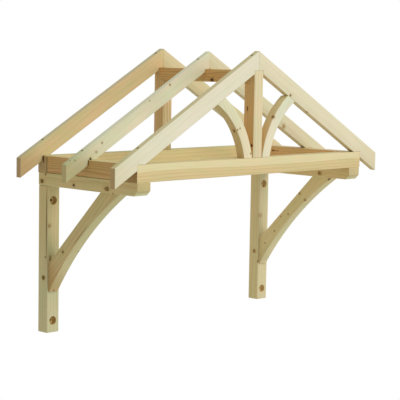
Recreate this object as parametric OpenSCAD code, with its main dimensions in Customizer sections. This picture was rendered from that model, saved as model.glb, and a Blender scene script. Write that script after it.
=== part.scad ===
// Timber porch canopy: two gallows brackets carry an open gable roof frame.
// Millimetres, +Z up. X runs along the wall, Y = 0 is the wall, the front is -Y.
// The origin is the middle of the back tie beam's wall face.

/* [Timber] */
// Wide side of the planed stock: arm widths, beam and rafter depths
stock_w = 73.5; // [64:0.5:90]
// Narrow side of the planed stock: post, beam and king post depths front to back
stock_t = 59.5; // [50:0.5:66]
// Width of the wall posts, planed a little narrower than the arms
post_w = 67; // [58:0.5:72]
// Slimmer planed size: arm depth, king post width, ridge section
slim = 56; // [50:0.5:64]
// Rafter thickness, the stock sawn in two
rafter_t = 29; // [20:0.5:32]
// Depth of the middle rafter pair, a little less than the gable pairs
mid_rafter_d = 66; // [55:0.5:72]
// Chamfer on the long arrises
arris = 2.5; // [1:0.5:5]

/* [Overall] */
// Length of the two tie beams, outside to outside of the brackets
span = 1420; // [1100:10:2000]
// Reach from the wall to the front face
projection = 631; // [570:1:800]
// Wall post length below the arm
post_h = 644; // [560:2:900]

/* [Roof] */
// Roof slope in degrees
pitch = 29.6; // [25:0.1:40]
// Level overhang of the rafter tails past the beam ends
tail = 122; // [60:2:200]
// Depth of the plumb heel cut of the front pair's birdsmouths
heel = 24; // [16:0.5:28]
// Depth of the same cut in the middle and back pairs
inner_heel = 21.5; // [14:0.5:28]
// Clearance between a plumb heel cut and the beam end
heel_gap = 2; // [0.5:0.5:5]
// The same clearance in the middle pair, against the side plates
mid_heel_gap = 5; // [0.5:0.5:8]
// Joint left open between a side plate and the back tie beam
plate_gap = 2.5; // [1:0.5:5]

/* [Gable struts] */
// Width of a curved strut seen from the front
strut_w = 48.5; // [36:0.5:60]
// Strut thickness front to back
strut_t = 42.5; // [28:0.5:48]
// Radius of the strut edge that faces the king post
strut_r = 400; // [330:5:480]
// Depth of the right arc's level centre line below the top of the tie beam
strut_drop = 56; // [20:1:90]
// The same depth for the left strut, which leans out a little more
left_strut_drop = 70; // [20:1:90]
// Gap between strut foot and king post on the right
strut_gap = 3.5; // [1:0.5:20]
// Gap between strut foot and king post on the left
left_strut_gap = 5.5; // [1:0.5:20]

/* [Brackets] */
// Step from the outer face of the arm in to the outer face of the post
post_inset = 1.5; // [0.5:0.5:4]
// Width of a brace, set central on the post
brace_w = 50; // [40:1:56]
// Straight upper edge: distance from the inside corner to either end
brace_leg = 337; // [280:1:360]
// Curved lower edge: distance from the inside corner to either end
brace_foot = 455; // [430:5:480]
// Square toe of the brace at the post
brace_toe = 8; // [4:1:16]
// Hollow of the curved lower edge at mid length
brace_sag = 32; // [10:1:40]
// Bevel on the lower front edge of the arm
arm_bevel = 20; // [8:1:30]

/* [Joints] */
// Thickness of the bracket tenons
tenon_t = 22; // [16:1:26]
// Length of the bracket tenons
tenon_l = 38; // [32:1:42]
// Clearance on each cheek of a tenon
tenon_fit = 0.2; // [0.1:0.1:1]
// Space left past the end of a tenon
tenon_end = 2; // [1:0.5:4]
// Diameter of the draw pegs
peg_d = 18; // [10:1:20]
// Height of the arm's pegs above its underside
peg_set = 18.5; // [14:0.5:20]
// Shift of the arm's pegs from the middle of their joints towards the wall
peg_in = 5; // [0:0.5:6]
// Distance of the foot peg from the front of the post
foot_peg_set = 23; // [16:0.5:26]
// Shift of the foot peg below the middle of its joint
foot_peg_low = 6; // [0:0.5:12]
// Depth of the peg ends below the faces
peg_sink = 3.5; // [1:0.5:8]
// Clearance round a peg
peg_fit = 0.1; // [0.05:0.05:0.3]
// Length of the king post stub tenons
stub_l = 25; // [15:1:35]

/* [Wall fixings] */
// Clearance hole for the wall bolts
bolt_d = 12; // [8:1:16]
// Counterbore that takes the bolt head and washer
counterbore_d = 38; // [28:1:44]
// Depth of the counterbore
counterbore_l = 18; // [10:1:25]
// Height of the lower bolt above the foot of the post
bolt_low = 52; // [35:1:90]
// Distance of the upper bolt below the arm
bolt_high = 65; // [40:1:90]

/* [Hidden] */
$fn = 48;
over = 1;
half = span / 2;
rise = tan(pitch);
beam_top = stock_w / 2;
arm_top = -stock_w / 2;
arm_bot = arm_top - slim;
post_bot = arm_bot - post_h;
post_mid = half - post_inset - post_w / 2;
arm_mid = half - stock_w / 2;
half_t = stock_t / 2;
half_slim = slim / 2;
eaves_x = half + tail;
slope_l = eaves_x / cos(pitch);
ridge_top = beam_top - heel + half * rise;
ridge_bot = ridge_top - slim;
tenon_y = stock_t - 2 * (stock_t / 5);
tenon_margin = 14;
stub_w = half_slim;
overrun = 100;
brace_blank = 120;
arm_seat = brace_foot - brace_leg;
seat_mid = brace_leg + arm_seat / 2;
peg_post = [-half_t + peg_in, arm_bot + peg_set];
peg_arm = [-stock_t - seat_mid + peg_in, arm_bot + peg_set];
peg_foot = [-stock_t + foot_peg_set, arm_bot - seat_mid - foot_peg_low];

// Rectangle from the origin with its four corners chamfered.
module section(w, h) {
    polygon([
        [arris, 0], [w - arris, 0], [w, arris], [w, h - arris],
        [w - arris, h], [arris, h], [0, h - arris], [0, arris]
    ]);
}

// Bars with chamfered arrises; each grows from the origin in +X, +Y and +Z.
module bar_x(l, w, h) {
    rotate([90, 0, 90]) linear_extrude(l) section(w, h);
}

module bar_y(w, l, h) {
    translate([0, l, 0]) rotate([90, 0, 0]) linear_extrude(l) section(w, h);
}

module bar_z(w, d, l) {
    linear_extrude(l) section(w, d);
}

// Outline in Y and Z carried along X, centred on x.
module along_x(x, w) {
    translate([x - w / 2, 0, 0]) rotate([90, 0, 90]) linear_extrude(w) children();
}

// Outline in X and Z carried forward from y towards the front.
module along_y(y, d) {
    translate([0, y, 0]) rotate([90, 0, 0]) linear_extrude(d) children();
}

// Draw peg at p = [y, z] through timber of width w centred on x, sunk below both faces.
module peg(p, x, w) {
    translate([x - w / 2 + peg_sink, p[0], p[1]])
        rotate([0, 90, 0]) cylinder(d = peg_d, h = w - 2 * peg_sink);
}

// Peg hole through the whole width of a bracket at p = [y, z].
module peg_bore(p) {
    translate([half - stock_w - over, p[0], p[1]])
        rotate([0, 90, 0]) cylinder(d = peg_d + 2 * peg_fit, h = stock_w + 2 * over);
}

// Tenon of the post, entering the arm from below; grow widens it into its mortise.
module post_tenon(grow, extra) {
    translate([post_mid - tenon_t / 2 - grow, -half_t - tenon_y / 2 - grow, arm_bot - over])
        cube([tenon_t + 2 * grow, tenon_y + 2 * grow, tenon_l + over + extra]);
}

// Tenon at the head of the brace, entering the arm from below.
module head_tenon(grow, extra) {
    translate([
        post_mid - tenon_t / 2 - grow,
        -stock_t - brace_foot + tenon_margin - grow,
        arm_bot - over
    ])
        cube([
            tenon_t + 2 * grow,
            arm_seat - 2 * tenon_margin + 2 * grow,
            tenon_l + over + extra
        ]);
}

// Tenon at the foot of the brace, entering the front face of the post.
module foot_tenon(grow, extra) {
    translate([
        post_mid - tenon_t / 2 - grow,
        -stock_t - over,
        arm_bot - brace_foot + tenon_margin - grow
    ])
        cube([
            tenon_t + 2 * grow,
            tenon_l + over + extra,
            arm_seat - 2 * tenon_margin + 2 * grow
        ]);
}

// Counterbored hole for one wall bolt at height z.
module wall_bolt(z) {
    translate([post_mid, over, z]) rotate([90, 0, 0]) cylinder(d = bolt_d, h = stock_t + 2 * over);
    translate([post_mid, -stock_t + counterbore_l, z])
        rotate([90, 0, 0]) cylinder(d = counterbore_d, h = counterbore_l + over);
}

// Right-hand pieces; the left ones are their mirror images.
module wall_post() {
    difference() {
        union() {
            translate([post_mid - post_w / 2, -stock_t, post_bot]) bar_z(post_w, stock_t, post_h);
            post_tenon(0, 0);
        }
        foot_tenon(tenon_fit, tenon_end);
        wall_bolt(post_bot + bolt_low);
        wall_bolt(arm_bot - bolt_high);
        peg_bore(peg_post);
        peg_bore(peg_foot);
    }
}

module bracket_arm() {
    difference() {
        translate([half - stock_w, -projection, arm_bot]) bar_y(stock_w, projection, slim);
        along_x(arm_mid, stock_w + 2 * over) polygon([
            [-projection - over, arm_bot - over],
            [-projection + arm_bevel + over, arm_bot - over],
            [-projection - over, arm_bot + arm_bevel + over]
        ]);
        post_tenon(tenon_fit, tenon_end);
        head_tenon(tenon_fit, tenon_end);
        peg_bore(peg_post);
        peg_bore(peg_arm);
    }
}

// Drum that hollows the brace's lower edge: one arc through toe and head, flared at both
// ends so that it chamfers the curved arrises as well.
module brace_drum() {
    toe = [-stock_t - brace_toe, arm_bot - brace_foot];
    head = [-stock_t - brace_foot, arm_bot];
    chord = norm(head - toe);
    radius = (chord * chord / 4 + brace_sag * brace_sag) / (2 * brace_sag);
    out = [toe[1] - head[1], head[0] - toe[0]] / chord;
    centre = (toe + head) / 2 + out * (radius - brace_sag);
    flare = arris + over;
    translate([post_mid - brace_w / 2, centre[0], centre[1]]) rotate([0, 90, 0])
        rotate_extrude($fn = 360) polygon([
            [0, -over], [radius + flare, -over],
            [radius, arris], [radius, brace_w - arris],
            [radius + flare, brace_w + over], [0, brace_w + over]
        ]);
}

// Brace: a sloping bar whose top is the straight upper edge, cut to post and arm and hollowed.
module brace_body() {
    difference() {
        intersection() {
            translate([post_mid - brace_w / 2, -stock_t - brace_leg, arm_bot]) rotate([-45, 0, 0])
                translate([0, -overrun, -brace_blank])
                    bar_y(brace_w, brace_leg * sqrt(2) + 2 * overrun, brace_blank);
            translate([post_mid - stock_w / 2, -stock_t - brace_foot, arm_bot - brace_foot])
                cube([stock_w, brace_foot, brace_foot]);
        }
        brace_drum();
    }
}

module bracket_brace() {
    difference() {
        union() {
            brace_body();
            head_tenon(0, 0);
            foot_tenon(0, 0);
        }
        peg_bore(peg_arm);
        peg_bore(peg_foot);
    }
}

// Tie beam with its front face at y; mortised for the stub of its king post.
module tie_beam(y) {
    difference() {
        translate([-half, y, -beam_top]) bar_x(span, stock_t, stock_w);
        king_stub(y, tenon_fit, tenon_end);
    }
}

module side_plate() {
    translate([half - stock_t, -projection + stock_t, -beam_top])
        bar_y(stock_t, projection - 2 * stock_t - plate_gap, stock_w);
}

// Stub tenon under a king post whose front face is at y.
module king_stub(y, grow, extra) {
    translate([-stub_w / 2 - grow, y + half_t - tenon_t / 2 - grow, beam_top - stub_l - extra])
        cube([stub_w + 2 * grow, tenon_t + 2 * grow, stub_l + over + extra]);
}

// King post with its front face at y; the ridge end sits in a notch that starts at notch_y,
// and the tongue left beside the notch stands up between the rafters.
module king_post(y, notch_y) {
    difference() {
        translate([-half_slim, y, beam_top]) bar_z(slim, stock_t, ridge_top - beam_top);
        translate([-half_slim - over, notch_y, ridge_bot])
            cube([slim + 2 * over, stock_t, slim + over]);
    }
    king_stub(y, 0, 0);
}

module ridge_beam() {
    translate([-half_slim, -projection + rafter_t, ridge_bot])
        bar_y(slim, projection - 2 * rafter_t, slim);
}

// Arched strut with its arc's centre drop below the beam's top and its foot gap from the king
// post: its section is carried round the arc, then cut level on the beam and to the slope under
// the rafter.
module strut(drop, gap) {
    centre_x = half_slim + gap + sqrt(strut_r * strut_r - drop * drop);
    intersection() {
        translate([centre_x, -projection + strut_t, beam_top - drop]) rotate([90, 0, 0])
            rotate_extrude($fn = 180) translate([strut_r - strut_w, 0]) section(strut_w, strut_t);
        along_y(-projection + strut_t + over, strut_t + 2 * over) polygon([
            [0, beam_top], [centre_x, beam_top],
            [centre_x, ridge_top - centre_x * rise], [0, ridge_top]
        ]);
    }
}

// Saw cut through a rafter whose back face is at y, over a box in X and Z.
module sawn(y, low, high) {
    along_y(y + over, rafter_t + 2 * over) translate(low) square(high - low);
}

// Rafter with its back face at y, depth d and heel cut h, standing off by gap: plumb joint at
// the apex, notch over the ridge, birdsmouth over the beam end, plumb tail.
module rafter(y, d, h, gap) {
    difference() {
        translate([0, y - rafter_t, ridge_top + heel - h]) rotate([0, pitch, 0])
            translate([-overrun, 0, 0]) bar_x(slope_l + 2 * overrun, rafter_t, d);
        sawn(y, [-half, 0], [0, span]);
        sawn(y, [-over, beam_top], [half_slim, ridge_top]);
        sawn(y, [half_slim, -half], [half + gap, beam_top]);
        sawn(y, [eaves_x, -half], [eaves_x + half, half]);
    }
}

module front_rafter() rafter(-projection + rafter_t, stock_w, heel, heel_gap);
module middle_rafter() rafter((rafter_t - projection) / 2, mid_rafter_d, inner_heel, mid_heel_gap);
module back_rafter() rafter(0, stock_w, inner_heel, heel_gap);

module post_colour() color([0.78, 0.72, 0.52]) children();
module beam_colour() color([0.84, 0.76, 0.56]) children();
module rafter_colour() color([0.87, 0.81, 0.62]) children();
module peg_colour() color([0.55, 0.45, 0.25]) children();
module left() mirror([1, 0, 0]) children();

post_colour() left() wall_post();  // left_wall_post
post_colour() wall_post();  // right_wall_post
post_colour() left() bracket_arm();  // left_bracket_arm
post_colour() bracket_arm();  // right_bracket_arm
post_colour() left() bracket_brace();  // left_bracket_brace
post_colour() bracket_brace();  // right_bracket_brace
peg_colour() left() peg(peg_post, arm_mid, stock_w);  // left_post_peg
peg_colour() peg(peg_post, arm_mid, stock_w);  // right_post_peg
peg_colour() left() peg(peg_arm, arm_mid, stock_w);  // left_arm_peg
peg_colour() peg(peg_arm, arm_mid, stock_w);  // right_arm_peg
peg_colour() left() peg(peg_foot, post_mid, post_w);  // left_foot_peg
peg_colour() peg(peg_foot, post_mid, post_w);  // right_foot_peg
beam_colour() tie_beam(-stock_t);  // back_tie_beam
beam_colour() tie_beam(-projection);  // front_tie_beam
beam_colour() left() side_plate();  // left_side_plate
beam_colour() side_plate();  // right_side_plate
beam_colour() king_post(-stock_t, -rafter_t - stock_t);  // back_king_post
beam_colour() king_post(-projection, -projection + rafter_t);  // front_king_post
beam_colour() ridge_beam();
rafter_colour() left() strut(left_strut_drop, left_strut_gap);  // left_strut
rafter_colour() strut(strut_drop, strut_gap);  // right_strut
rafter_colour() left() front_rafter();  // left_front_rafter
rafter_colour() front_rafter();  // right_front_rafter
rafter_colour() left() middle_rafter();  // left_middle_rafter
rafter_colour() middle_rafter();  // right_middle_rafter
rafter_colour() left() back_rafter();  // left_back_rafter
rafter_colour() back_rafter();  // right_back_rafter
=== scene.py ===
"""Porch canopy in planed softwood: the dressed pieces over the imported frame.

Metres in the row frame: X runs along the wall, Y = 0 is the wall with the front towards -Y, Z is up.
"""
import logging
import math
from dataclasses import dataclass, field
from enum import Enum
from typing import Any

import bpy
from mathutils import Matrix, Quaternion, Vector


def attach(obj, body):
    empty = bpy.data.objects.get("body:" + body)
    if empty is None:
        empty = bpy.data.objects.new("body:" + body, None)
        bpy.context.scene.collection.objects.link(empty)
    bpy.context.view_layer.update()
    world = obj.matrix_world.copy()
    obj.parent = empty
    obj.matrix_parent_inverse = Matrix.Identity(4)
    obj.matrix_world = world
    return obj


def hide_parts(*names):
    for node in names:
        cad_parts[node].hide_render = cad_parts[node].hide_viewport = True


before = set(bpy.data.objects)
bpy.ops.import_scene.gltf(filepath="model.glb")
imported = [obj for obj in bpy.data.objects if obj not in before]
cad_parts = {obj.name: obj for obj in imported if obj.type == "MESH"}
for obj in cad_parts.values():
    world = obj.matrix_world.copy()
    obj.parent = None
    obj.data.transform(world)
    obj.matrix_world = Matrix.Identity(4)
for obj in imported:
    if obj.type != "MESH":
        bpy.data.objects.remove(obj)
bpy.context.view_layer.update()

LOG = logging.getLogger("porch_canopy")
Point = tuple[float, float, float] | Vector
Piece = bpy.types.Object
Material = bpy.types.Material
Socket = bpy.types.NodeSocket

X_AXIS: Point = (1, 0, 0)
Y_AXIS: Point = (0, 1, 0)
Z_AXIS: Point = (0, 0, 1)
ACROSS: Point = (0, 1, 1)
SPOT: Point = (0, 0, 0)

PAST = 0.01  # how far a cutter runs past the wood
SPARE = 0.02  # spare length on a blank before it is sawn
TINY = 1e-6  # points closer than this are one
FACING = 0.9  # cosine within which a face looks a given way
ARRIS = math.radians(25)  # edges that turn more than this are eased
SMOOTH = math.radians(32)  # faces that turn less than this are shaded as one

# Facets round the pegs, the bolt holes, the counterbores, the screws and the drum that hollows a brace.
PEG_SIDES, BOLT_SIDES, BORE_SIDES, SCREW_SIDES, DRUM_SIDES = 40, 32, 56, 28, 720

# Scales of the wood's patterns along and across the fibres, for each metre.
FIBRE: Point = (7.0, 330.0, 330.0)  # streaks about 3 mm wide and 150 mm long
SWAY: Point = (1.3, 8.0, 8.0)  # bends of the rings, about 0.8 m long
PATCH: Point = (7.0, 24.0, 24.0)  # patches of treatment, about 40 by 150 mm
FIBRE_TINT = "#e6dcc8"
COOL_PATCH, WARM_PATCH = "#f3fbf0", "#fff8f2"

# Values of noise, of rings and of the cosine to a face between which a tone comes in.
STREAK_IN, GLOSS_IN, PATCH_IN, LATE_IN = (0.35, 0.7), (0.3, 0.7), (0.34, 0.66), (0.35, 1.0)
FACE_IN, END_IN = (0.2, 0.8), (0.62, 0.80)
NOISE_MID: Point = (0.5, 0.5, 0.5)
WAVE_TURN = math.tau / 20  # width of a ring for a wave texture at a scale of one

# Knots, and spots of painted shade drawn as knots, with distances in knot radii.
KNOT_HALO, KNOT_BARK = "#cfaa6c", "#7d663a"
HALO_IN, CORE_IN, BARK_IN, PUSH_IN = (3.0, 1.0), (1.45, 1.1), (1.55, 1.3), (4.0, 0.5)
CORE_SHARE, BARK_SHARE = 0.90, 0.35
KNOT_UNEVEN, KNOT_LUMPS = 0.7, 1.1
KNOT_PUSH = 1.5  # how far a knot pushes the rings aside, in rings


class Side(Enum):
    """Left or right half of the canopy, as the sign of X."""

    LEFT = -1
    RIGHT = 1

    @property
    def hand(self) -> str:
        """The side's name as it stands in the names of pieces."""
        return self.name.lower()


class Bay(Enum):
    """The three rafter pairs, from the front gable to the wall."""

    FRONT = "front"
    MIDDLE = "middle"
    BACK = "back"


@dataclass(frozen=True)
class Sizes:
    """Timber sizes of the canopy, as in the part's source, and the levels that follow from them."""

    stock_w: float = 0.0735
    stock_t: float = 0.0595
    post_w: float = 0.067
    slim: float = 0.056
    rafter_t: float = 0.029
    mid_rafter_d: float = 0.066
    span: float = 1.420
    projection: float = 0.631
    post_h: float = 0.644
    post_inset: float = 0.0015
    pitch: float = math.radians(29.6)
    tail: float = 0.122
    heel: float = 0.024
    inner_heel: float = 0.0215
    mid_heel_gap: float = 0.005
    overhang: float = 0.002

    @property
    def half(self) -> float:
        """Half the length of the tie beams."""
        return self.span / 2

    @property
    def frame_half(self) -> float:
        """Half the width over the level frame, whose sawn ends stand a little proud of the arms."""
        return self.half + self.overhang

    @property
    def rise(self) -> float:
        """Rise of the roof for each metre of run."""
        return math.tan(self.pitch)

    @property
    def beam_top(self) -> float:
        """Level of the top of the tie beams."""
        return self.stock_w / 2

    @property
    def arm_bot(self) -> float:
        """Level of the underside of the bracket arms."""
        return -self.stock_w / 2 - self.slim

    @property
    def post_bot(self) -> float:
        """Level of the feet of the wall posts."""
        return self.arm_bot - self.post_h

    @property
    def post_mid(self) -> float:
        """Distance from the middle of the canopy to the middle of a wall post."""
        return self.half - self.post_inset - self.post_w / 2

    @property
    def ridge_top(self) -> float:
        """Level of the top of the ridge beam, where the rafters' undersides would meet."""
        return self.beam_top - self.heel + self.half * self.rise

    @property
    def ridge_bot(self) -> float:
        """Level of the underside of the ridge beam."""
        return self.ridge_top - self.slim

    def roof_out(self, side: Side) -> Vector:
        """Gives the direction square out of the roof on one side."""
        return Vector((side.value * math.sin(self.pitch), 0, math.cos(self.pitch)))


SIZES = Sizes()


def linear(hex_colour: str) -> tuple[float, float, float, float]:
    """Turns an sRGB hex colour into linear light.

    Args:
        hex_colour: six hex digits, with or without a leading hash.

    Returns:
        Red, green, blue and an alpha of one.
    """
    digits = hex_colour.lstrip("#")
    parts = [int(digits[i : i + 2], 16) / 255 for i in (0, 2, 4)]
    light = [p / 12.92 if p <= 0.04045 else ((p + 0.055) / 1.055) ** 2.4 for p in parts]
    return (light[0], light[1], light[2], 1.0)


def feed(node: bpy.types.Node, inputs: dict[int | str, Any]) -> None:
    """Sets what goes into a node.

    Args:
        node: the node.
        inputs: values or output sockets by input name or number.
    """
    for key, value in inputs.items():
        if isinstance(value, Socket):
            node.id_data.links.new(value, node.inputs[key])
        else:
            node.inputs[key].default_value = value


def add(tree: bpy.types.NodeTree, kind: str, settings: dict[str, Any] | None = None,
        inputs: dict[int | str, Any] | None = None) -> bpy.types.Node:
    """Adds one node with its settings and what goes into it.

    Args:
        tree: the node tree that takes the node.
        kind: the node's type name.
        settings: node attributes by name.
        inputs: values or output sockets by input name or number.

    Returns:
        The new node.
    """
    node = tree.nodes.new(kind)
    for key, value in (settings or {}).items():
        setattr(node, key, value)
    feed(node, inputs or {})
    return node


class Finish:
    """A material in the making: its nodes, and short ways to lay those that every finish uses."""

    def __init__(self, name: str) -> None:
        """Starts a material.

        Args:
            name: the material's name.
        """
        self.material = bpy.data.materials.new(name)
        self.material.use_nodes = True
        self.tree = self.material.node_tree

    def place(self) -> Socket:
        """Gives the piece's own coordinates."""
        return add(self.tree, "ShaderNodeTexCoord").outputs["Object"]

    def vector(self, operation: str, first: Any, second: Any = SPOT) -> Socket:
        """Works on vectors.

        Args:
            operation: the operation's name.
            first: a socket or a constant.
            second: another, where the operation takes two.

        Returns:
            The result, a plain number for a length or a dot product.
        """
        node = add(self.tree, "ShaderNodeVectorMath", {"operation": operation}, {0: first, 1: second})
        return node.outputs["Value" if operation in ("LENGTH", "DOT_PRODUCT") else "Vector"]

    def number(self, operation: str, *terms: Any) -> Socket:
        """Works on plain numbers, as sockets or constants."""
        return add(self.tree, "ShaderNodeMath", {"operation": operation}, dict(enumerate(terms))).outputs[0]

    def ramp(self, value: Socket, start: float, stop: float, low: float = 0.0, high: float = 1.0,
             shape: str = "SMOOTHSTEP") -> Socket:
        """Maps a number from one range to another.

        Args:
            value: the number.
            start: where the first range starts.
            stop: where it stops.
            low: result at the start.
            high: result at the stop.
            shape: way from one to the other.

        Returns:
            The result.
        """
        ends = {"From Min": start, "From Max": stop, "To Min": low, "To Max": high}
        return add(self.tree, "ShaderNodeMapRange", {"interpolation_type": shape},
                   {"Value": value, **ends}).outputs[0]

    def noise(self, place: Socket, detail: float, scale: float = 1.0) -> bpy.types.Node:
        """Adds cloudy noise, with finer layers as detail grows."""
        return add(self.tree, "ShaderNodeTexNoise", {}, {"Vector": place, "Scale": scale, "Detail": detail})

    def mix(self, share: Any, ground: Any, cover: Any, blend: str = "MIX") -> Socket:
        """Lays one colour over another.

        Args:
            share: how far the cover shows.
            ground: the colour below, as a socket or a hex colour.
            cover: the colour above, in the same way.
            blend: how the two are blended.

        Returns:
            The colour.
        """
        below, above = (linear(c) if isinstance(c, str) else c for c in (ground, cover))
        return add(self.tree, "ShaderNodeMix", {"data_type": "RGBA", "blend_type": blend},
                   {0: share, 6: below, 7: above}).outputs[2]

    def dress(self, inputs: dict[int | str, Any]) -> Material:
        """Feeds the surface and gives the finished material."""
        feed(self.tree.nodes["Principled BSDF"], inputs)
        return self.material


@dataclass(frozen=True)
class Knot:
    """A knot, a stain, a grain line or a spot of painted shade on a piece, sized and placed in millimetres.

    Attributes:
        x: place along the wall.
        y: place out from the wall.
        z: height.
        radius: radius of the core.
        colour: colour of the core.
        stretch: length of the core along the fibres for each unit across them.
        halo: strength of the warm halo round the core.
        branch: direction of a branch that runs through the piece, or SPOT for a mark at one place.
    """

    x: float
    y: float
    z: float
    radius: float = 5.0
    colour: str = "#7a5529"
    stretch: float = 1.0
    halo: float = 0.45
    branch: Point = SPOT

    def reach(self, finish: Finish, local: Socket, turn: Quaternion, pith: Vector) -> Socket:
        """Measures the distance from the knot's branch.

        Args:
            finish: the wood's nodes.
            local: coordinates with X along the fibres and the pith at the origin.
            turn: turn from the frame to those coordinates.
            pith: the pith, in the frame.

        Returns:
            The distance in knot radii, a little uneven.
        """
        branch = turn @ Vector(self.branch).normalized()
        keep = [(1.0 - abs(c)) / (self.radius / 1000) for c in branch]
        keep[0] /= self.stretch
        at = turn @ (Vector((self.x, self.y, self.z)) / 1000 - pith)
        flat = finish.vector("MULTIPLY", finish.vector("SUBTRACT", local, at), keep)
        rough = finish.noise(flat, 1.0, KNOT_LUMPS).outputs["Fac"]
        return finish.number("MULTIPLY_ADD", rough, KNOT_UNEVEN, finish.vector("LENGTH", flat))

    def lay(self, finish: Finish, colour: Socket, reach: Socket) -> Socket:
        """Lays the knot over the wood: a warm halo, a brown core and a dark tinge of bark; on a spot of
        painted shade the same layers paint the shade.

        Args:
            finish: the wood's nodes.
            colour: the wood's colour.
            reach: distance from the knot in knot radii.

        Returns:
            The colour with the knot in it.
        """
        for comes_in, most, blend, shade in (
            (HALO_IN, self.halo, "MULTIPLY", KNOT_HALO),
            (CORE_IN, CORE_SHARE, "MIX", self.colour),
            (BARK_IN, BARK_SHARE, "MULTIPLY", KNOT_BARK),
        ):
            colour = finish.mix(finish.ramp(reach, *comes_in, high=most), colour, shade, blend)
        return colour


@dataclass(frozen=True)
class Drift:
    """A slow change of tone along a board, from its near end to its far end: mostly painted shade and light,
    such as darker rafter tails, and partly a change of hue.

    Attributes:
        start: distance along the fibres where the near tone ends.
        stop: distance where the far tone is reached.
        near: tint at the near end.
        far: tint at the far end.
    """

    start: float
    stop: float
    near: str = "#ffffff"
    far: str = "#ffffff"


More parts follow.
